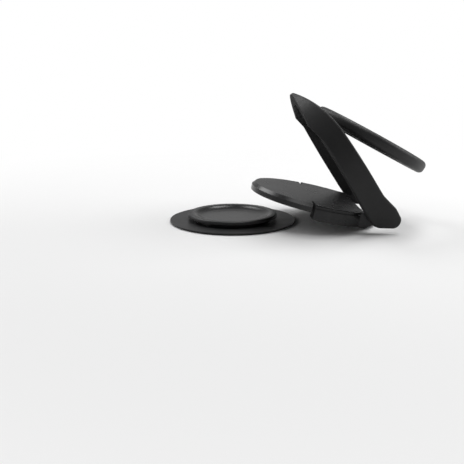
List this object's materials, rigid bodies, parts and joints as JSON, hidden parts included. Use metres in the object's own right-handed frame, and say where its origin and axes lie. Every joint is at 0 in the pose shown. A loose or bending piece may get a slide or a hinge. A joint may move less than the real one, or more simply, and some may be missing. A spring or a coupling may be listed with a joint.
{
  "type": "phone ring holder",
  "caption": "Detachable finger-ring holder: a stick-on round dock, a base that hooks onto it, a folding round frame and a finger ring hinged at the frame's tip.",
  "frame": {"origin": "centre of the dock's adhesive face, on the surface that it sticks to", "axes": "+Z out of the surface, +X the way the holder slides off its dock, towards the frame's hinge"},
  "size_m": [0.0603, 0.0366, 0.0303],
  "materials": {
    "pad_foam": "matte adhesive foam",
    "black_plastic": "satin moulded black",
    "black_coating": "satin black coating",
    "pin_steel": "drawn wire"
  },
  "bodies": {
    "dock": {"adhesive_pad": "pad_foam", "dock": "black_plastic"},
    "base": {"cover_plate": "black_plastic", "hinge_collar": "black_plastic"},
    "frame": {"frame": "black_coating", "hinge_pins": "pin_steel", "hinge_washers": "pin_steel", "ring_pin": "pin_steel", "ring_washers": "pin_steel"},
    "ring": {"finger_ring": "black_coating"}
  },
  "joints": [
    {"name": "dock_lift", "type": "hinge", "parent": "dock", "child": "base", "pos_m": [0.02156, 0, -0.08762], "axis": [0, 1, 0], "range_deg": [-12.2, 0]},
    {"name": "frame_hinge", "type": "hinge", "parent": "base", "child": "frame", "pos_m": [0.03314, 0, 0.00474], "axis": [0, 1, 0], "range_deg": [-43.5, 55.5]},
    {"name": "ring_hinge", "type": "hinge", "parent": "frame", "child": "ring", "pos_m": [0.01848, 0, 0.02685], "axis": [0, -1, 0], "range_deg": [-27.5, 62.5]}
  ]
}
